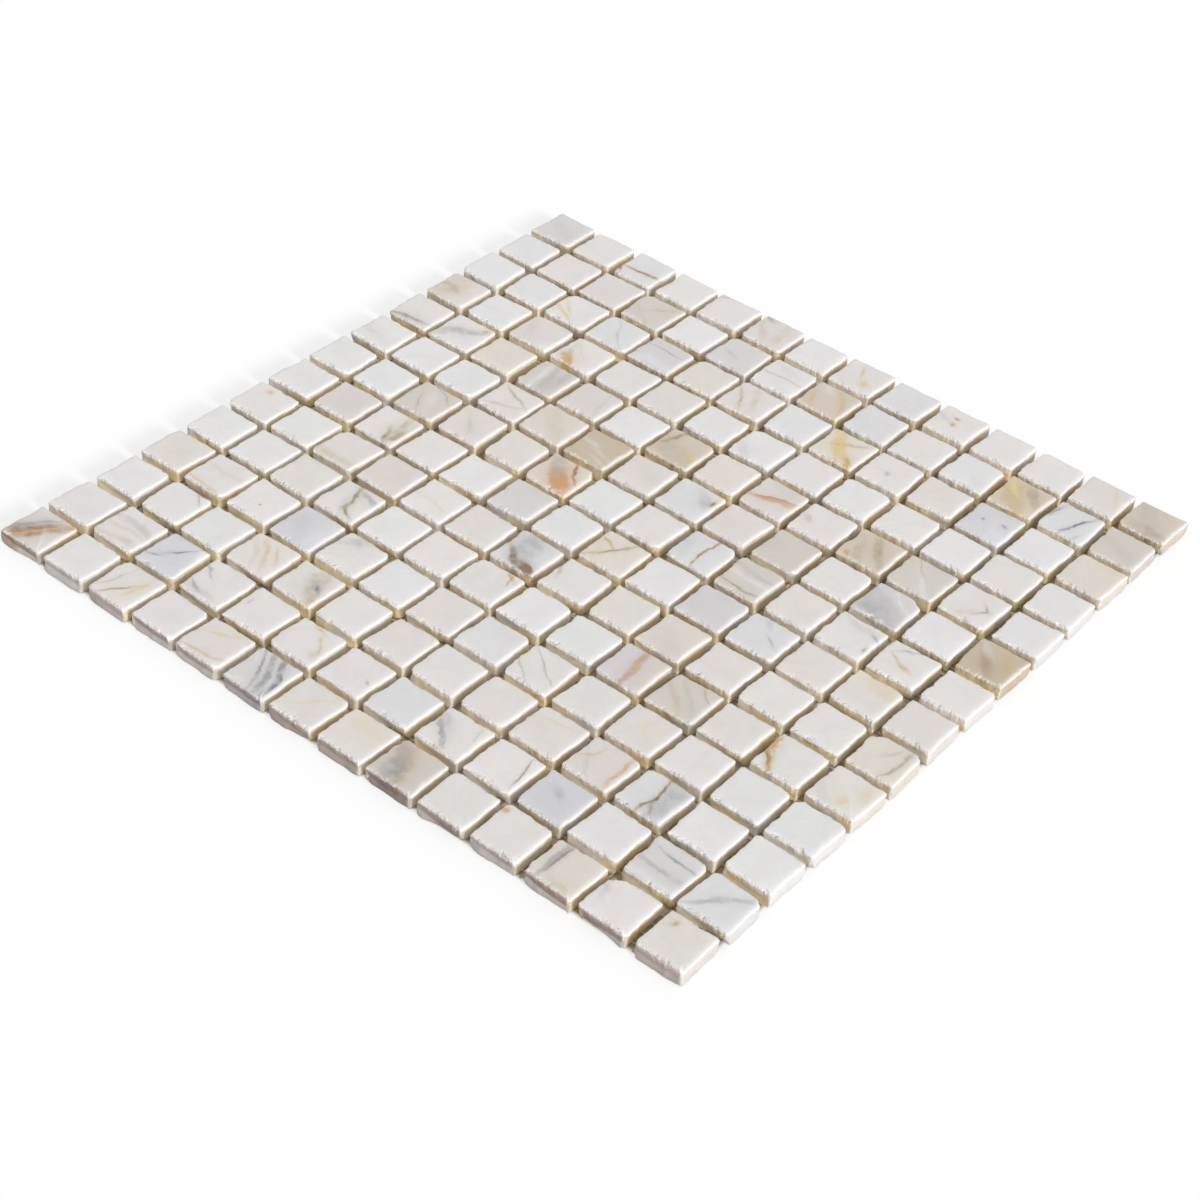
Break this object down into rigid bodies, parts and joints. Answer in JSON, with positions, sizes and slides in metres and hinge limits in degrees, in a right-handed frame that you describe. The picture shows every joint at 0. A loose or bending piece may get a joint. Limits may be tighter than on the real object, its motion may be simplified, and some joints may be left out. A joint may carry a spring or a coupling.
{
  "type": "mosaic tile sheet",
  "caption": "Square mosaic sheet of small split marble chips, white with gold and grey veins, set in a grid on a glass-fibre backing net.",
  "frame": {"origin": "centre of the sheet's underside, on the net", "axes": "+Z out of the polished face, +X along each row of chips, +Y from row 1 to row 14"},
  "size_m": [0.3059, 0.3059, 0.0063],
  "materials": {
    "marble": "honed satin",
    "net": "matt"
  },
  "bodies": {
    "root": {"chip_row_01": "marble", "chip_row_02": "marble", "chip_row_03": "marble", "chip_row_04": "marble", "chip_row_05": "marble", "chip_row_06": "marble", "chip_row_07": "marble", "chip_row_08": "marble", "chip_row_09": "marble", "chip_row_10": "marble", "chip_row_11": "marble", "chip_row_12": "marble", "chip_row_13": "marble", "chip_row_14": "marble", "net_warp_strands": "net", "net_weft_strands": "net"}
  },
  "joints": []
}
